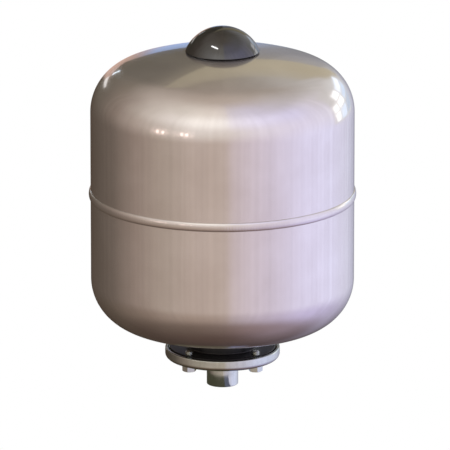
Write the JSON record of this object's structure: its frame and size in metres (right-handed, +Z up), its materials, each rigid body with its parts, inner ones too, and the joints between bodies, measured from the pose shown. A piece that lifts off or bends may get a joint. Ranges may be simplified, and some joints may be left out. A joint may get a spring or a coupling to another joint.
{
  "type": "expansion vessel",
  "caption": "Vertical bladder expansion vessel: two-part silver-grey tank with a girth weld, bolted pipe flange and socket below, air valve under a black dome cap above.",
  "frame": {"origin": "centre of the pipe socket's lower end, the lowest point of the vessel", "axes": "+Z up the vessel's axis from the pipe socket to the air valve, -Y towards the front between two flange bolts"},
  "size_m": [0.274, 0.274, 0.3785],
  "materials": {
    "body_paint": "glossy silver-grey metallic enamel",
    "ring_paint": "glossy black paint",
    "zinc_plate": "bright zinc plate",
    "bolt_plate": "zinc plated",
    "bag_rubber": "moulded black EPDM",
    "boss_steel": "turned steel",
    "valve_brass": "turned brass",
    "seal_rubber": "matte black rubber",
    "spring_steel": "drawn wire",
    "dust_cap_plastic": "moulded black nylon",
    "cap_plastic": "glossy black moulding"
  },
  "bodies": {
    "vessel": {"upper_shell": "body_paint", "lower_shell": "body_paint", "girth_weld": "body_paint", "neck_weld": "body_paint", "neck_flange": "ring_paint", "cover_flange": "zinc_plate", "inlet_socket": "zinc_plate", "inlet_weld": "zinc_plate", "flange_bolt_1": "bolt_plate", "flange_bolt_2": "bolt_plate", "flange_bolt_3": "bolt_plate", "flange_bolt_4": "bolt_plate", "bladder": "bag_rubber", "valve_boss": "boss_steel", "valve_stem": "valve_brass", "valve_stem_oring": "seal_rubber", "valve_core_body": "valve_brass", "valve_core_seal": "seal_rubber", "valve_core_spring": "spring_steel"},
    "cover_cap": {"cover_cap": "cap_plastic"},
    "dust_cap_carrier": {"dust_cap_seal": "seal_rubber"},
    "dust_cap": {"dust_cap": "dust_cap_plastic"},
    "valve_pin": {"valve_core_pin": "valve_brass", "valve_core_poppet_seal": "seal_rubber"}
  },
  "joints": [
    {"name": "cover_cap_lift", "type": "slide", "parent": "vessel", "child": "cover_cap", "axis": [0, 0, 1], "range_m": [0, 0.06]},
    {"name": "dust_cap_rise", "type": "slide", "parent": "vessel", "child": "dust_cap_carrier", "axis": [0, 0, 1], "range_m": [0, 0.00461]},
    {"name": "dust_cap_turn", "type": "hinge", "parent": "dust_cap_carrier", "child": "dust_cap", "pos_m": [0, 0, 0.3646], "axis": [0, 0, 1], "range_deg": [0, 2090]},
    {"name": "valve_pin_press", "type": "slide", "parent": "vessel", "child": "valve_pin", "axis": [0, 0, 1], "range_m": [-0.0012, 0], "stiffness_N_per_m": 1000, "springref_m": 0.002, "deforming": ["valve_core_spring"]}
  ],
  "couplings": [
    {"joint": "dust_cap_turn", "follows": "dust_cap_rise", "rad_per_m": 7913}
  ]
}
